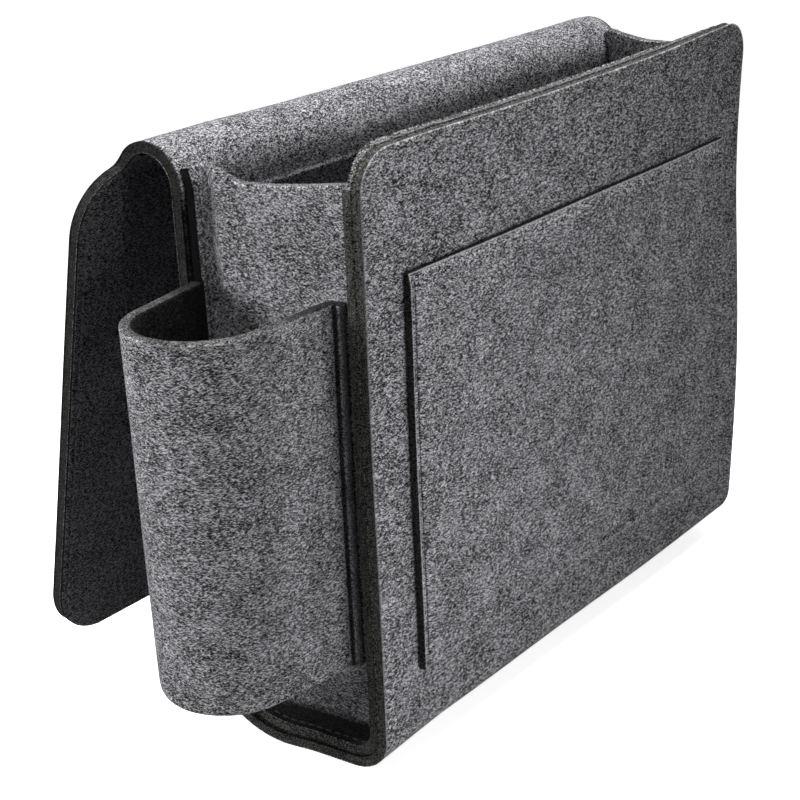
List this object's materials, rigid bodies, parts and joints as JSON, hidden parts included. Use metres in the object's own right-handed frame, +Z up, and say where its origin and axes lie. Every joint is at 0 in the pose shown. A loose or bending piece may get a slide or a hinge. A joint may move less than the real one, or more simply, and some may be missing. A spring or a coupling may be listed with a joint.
{
  "type": "bedside caddy",
  "caption": "Felt bedside caddy: open folded body with side gussets, a round bottle pocket at its side, a flat front pocket and a hinged flap that tucks under a mattress.",
  "frame": {"origin": "centre of the flat underside of the base, midway between the front face and the back wall", "axes": "+X to the right along the front panel, +Y from the front panel to the flap, +Z up"},
  "size_m": [0.3528, 0.1638, 0.2415],
  "materials": {
    "grey_felt": "mottled pressed felt",
    "dark_facing": "dark thin felt",
    "black_thread": "sewing thread"
  },
  "bodies": {
    "body": {"body_wrap": "grey_felt", "front_lining": "grey_felt", "back_lining": "dark_facing", "left_gusset": "grey_felt", "right_gusset": "grey_felt", "left_gusset_seam": "black_thread", "right_gusset_seam": "black_thread", "front_pocket": "grey_felt", "front_pocket_seam": "black_thread", "bottle_pocket": "grey_felt", "bottle_pocket_base": "grey_felt", "bottle_pocket_seam": "black_thread"},
    "flap": {"mattress_flap": "grey_felt", "flap_facing": "dark_facing", "flap_seam": "black_thread"}
  },
  "joints": [
    {"name": "flap_hinge", "type": "hinge", "parent": "body", "child": "flap", "pos_m": [0, 0.06624, 0.22377], "axis": [1, 0, 0], "range_deg": [-18, 75]}
  ]
}
